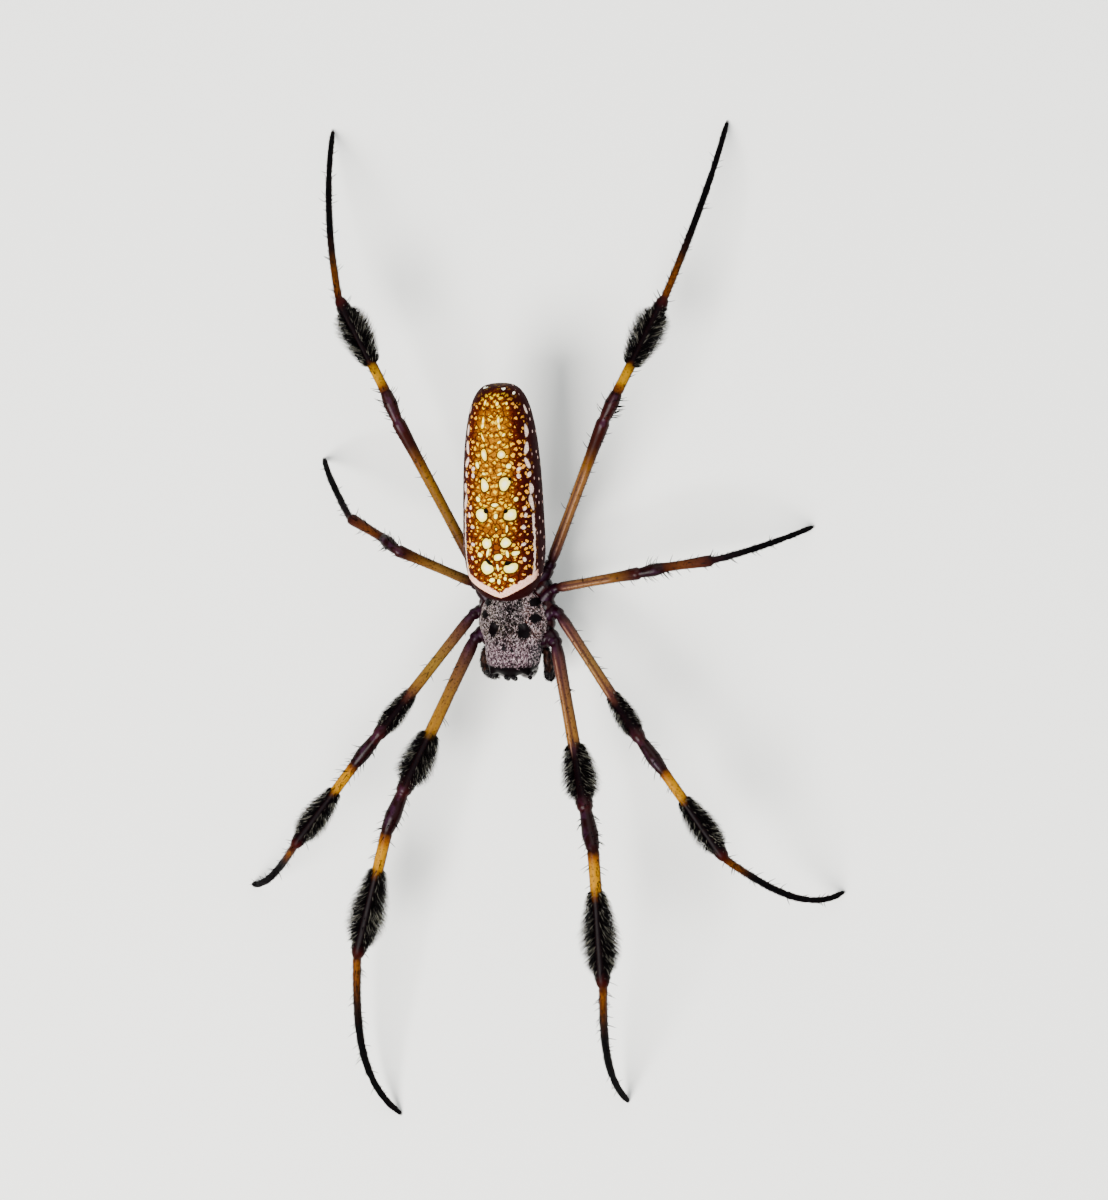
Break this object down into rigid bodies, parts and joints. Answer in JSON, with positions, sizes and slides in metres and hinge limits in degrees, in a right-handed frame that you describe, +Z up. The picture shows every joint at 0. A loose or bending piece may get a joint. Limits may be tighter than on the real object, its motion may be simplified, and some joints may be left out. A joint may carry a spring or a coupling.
{
  "type": "golden silk orb weaver spider",
  "caption": "Life-size still model of an adult female golden silk orb weaver, standing with long banded legs that carry dark hair brushes.",
  "frame": {"origin": "middle of the spider's outer box, on the floor under her", "axes": "+X towards the spider's own left, +Y towards her tail so that the head looks along -Y, +Z up from the floor that the feet stand on"},
  "size_m": [0.0628, 0.103, 0.015],
  "materials": {
    "abdomen_skin": "satin gold-brown skin with a network of dark red lines, cream spots in pairs and a pale band in front",
    "silver_hair": "short silver-grey hair lying over dark shell, with bare black spots",
    "dark_shell": "glossy dark maroon to black shell",
    "amber_leg": "amber-brown leg shell with maroon joints, golden bands and black hair brushes",
    "dark_foot": "blackish feet, orange next to the ankle, with fine bristles",
    "eyes": "wet black, high gloss"
  },
  "bodies": {
    "root": {"abdomen": "abdomen_skin", "cephalothorax": "silver_hair", "chelicera_left": "dark_shell", "chelicera_right": "dark_shell", "eye_front_middle_left": "eyes", "eye_front_middle_right": "eyes", "eye_front_side_left": "eyes", "eye_front_side_right": "eyes", "eye_rear_middle_left": "eyes", "eye_rear_middle_right": "eyes", "eye_rear_side_left": "eyes", "eye_rear_side_right": "eyes", "fang_left": "dark_shell", "fang_right": "dark_shell", "leg1_left_coxa": "dark_shell", "leg1_left_femur": "amber_leg", "leg1_left_foot": "dark_foot", "leg1_left_tibia": "amber_leg", "leg1_right_coxa": "dark_shell", "leg1_right_femur": "amber_leg", "leg1_right_foot": "dark_foot", "leg1_right_tibia": "amber_leg", "leg2_left_coxa": "dark_shell", "leg2_left_femur": "amber_leg", "leg2_left_foot": "dark_foot", "leg2_left_tibia": "amber_leg", "leg2_right_coxa": "dark_shell", "leg2_right_femur": "amber_leg", "leg2_right_foot": "dark_foot", "leg2_right_tibia": "amber_leg", "leg3_left_coxa": "dark_shell", "leg3_left_femur": "amber_leg", "leg3_left_foot": "dark_foot", "leg3_left_tibia": "amber_leg", "leg3_right_coxa": "dark_shell", "leg3_right_femur": "amber_leg", "leg3_right_foot": "dark_foot", "leg3_right_tibia": "amber_leg", "leg4_left_coxa": "dark_shell", "leg4_left_femur": "amber_leg", "leg4_left_foot": "dark_foot", "leg4_left_tibia": "amber_leg", "leg4_right_coxa": "dark_shell", "leg4_right_femur": "amber_leg", "leg4_right_foot": "dark_foot", "leg4_right_tibia": "amber_leg", "palp_left": "amber_leg", "palp_right": "amber_leg", "pedicel": "dark_shell", "spinnerets": "dark_shell"}
  },
  "joints": []
}
